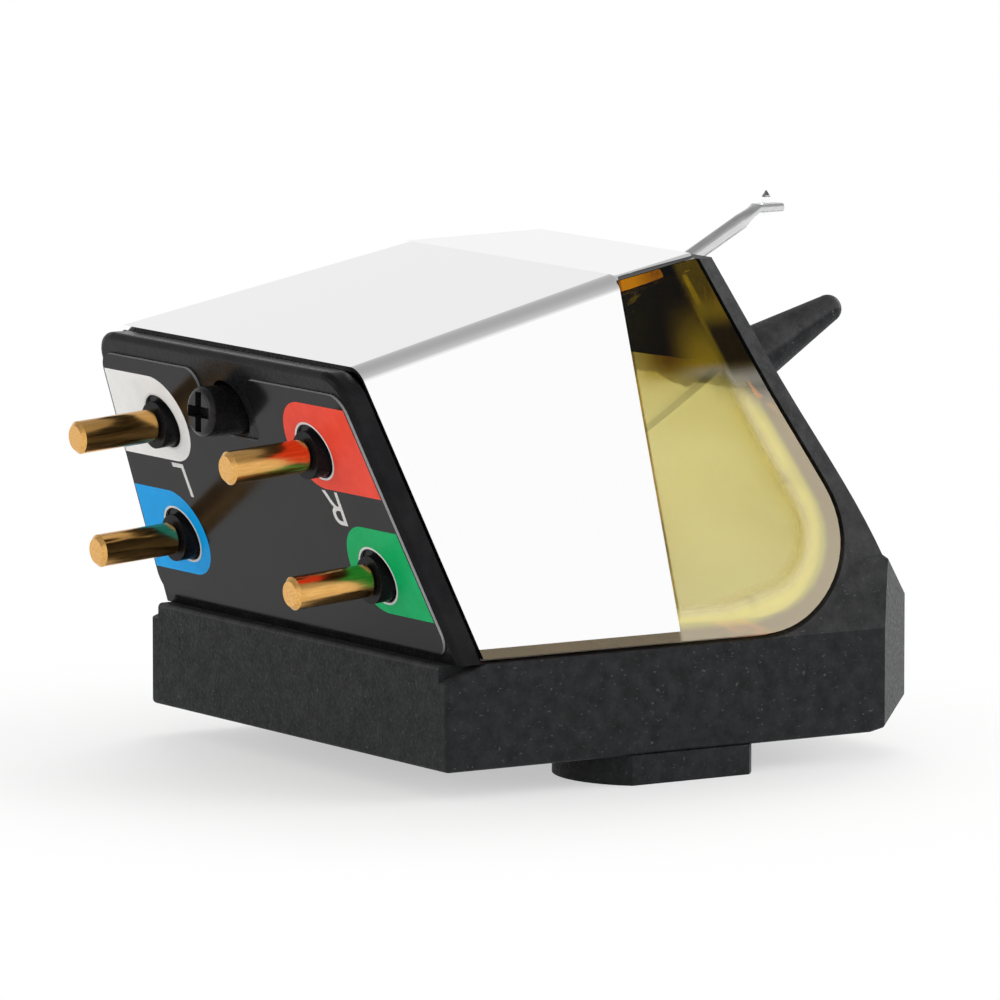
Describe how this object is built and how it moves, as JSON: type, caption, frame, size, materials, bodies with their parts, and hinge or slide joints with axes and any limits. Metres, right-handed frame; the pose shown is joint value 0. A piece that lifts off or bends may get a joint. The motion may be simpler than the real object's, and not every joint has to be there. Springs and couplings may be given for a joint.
{
  "type": "turntable stylus cartridge",
  "caption": "Moving-magnet turntable cartridge: black mount body, folded mirror cover over an amber housing, colour-coded gold pins and a sprung cantilever with a diamond tip.",
  "frame": {"origin": "on the mounting plane, midway between the two mounting holes", "axes": "+X from the terminal pins to the nose, +Y to the left channel's pins, +Z away from the headshell, towards the stylus"},
  "size_m": [0.0249, 0.017, 0.0165],
  "materials": {
    "body_black": "fine spark-eroded texture, glass-filled",
    "amber": "translucent, polished",
    "pale_resin": "cast, slightly cloudy",
    "mirror_sheet": "mirror polished",
    "plate_black": "satin",
    "label": "gloss film with printed colour fields",
    "black_steel": "black oxide",
    "gold_pin": "gold plated",
    "tube_aluminium": "drawn, bright",
    "diamond": "polished",
    "magnet": "nickel plated",
    "damper": "soft",
    "sleeve_brass": "turned",
    "steel_wire": "drawn",
    "carrier_black": "moulded",
    "core_iron": "annealed",
    "bobbin": "moulded",
    "copper": "enamelled winding",
    "lead": "enamelled wire"
  },
  "bodies": {
    "cartridge": {"mount_body": "body_black", "amber_housing": "amber", "damping_fill": "pale_resin", "shield_cover": "mirror_sheet", "terminal_plate": "plate_black", "terminal_label": "label", "retaining_screw": "black_steel", "pin_left_hot": "gold_pin", "pin_left_return": "gold_pin", "pin_right_hot": "gold_pin", "pin_right_return": "gold_pin", "suspension_sleeve": "sleeve_brass", "tie_wire": "steel_wire", "generator_carrier": "carrier_black", "core_left": "core_iron", "core_right": "core_iron", "bobbin_left_upper": "bobbin", "bobbin_left_lower": "bobbin", "bobbin_right_upper": "bobbin", "bobbin_right_lower": "bobbin", "coil_left_upper": "copper", "coil_left_lower": "copper", "coil_right_upper": "copper", "coil_right_lower": "copper", "lead_left_hot": "lead", "lead_left_return": "lead", "lead_right_hot": "lead", "lead_right_return": "lead"},
    "damper": {"damper_ring": "damper"},
    "cantilever": {"cantilever_tube": "tube_aluminium", "diamond_stylus": "diamond", "magnet": "magnet"}
  },
  "joints": [
    {"name": "stylus_lateral", "type": "hinge", "parent": "cartridge", "child": "damper", "pos_m": [0.00152, 0, 0.01242], "axis": [0, 0, 1], "range_deg": [-3, 3], "stiffness_Nm_per_rad": 0.0043},
    {"name": "stylus_vertical", "type": "hinge", "parent": "damper", "child": "cantilever", "pos_m": [0.00152, 0, 0.01242], "axis": [0, 1, 0], "range_deg": [-2, 3], "stiffness_Nm_per_rad": 0.0043}
  ]
}
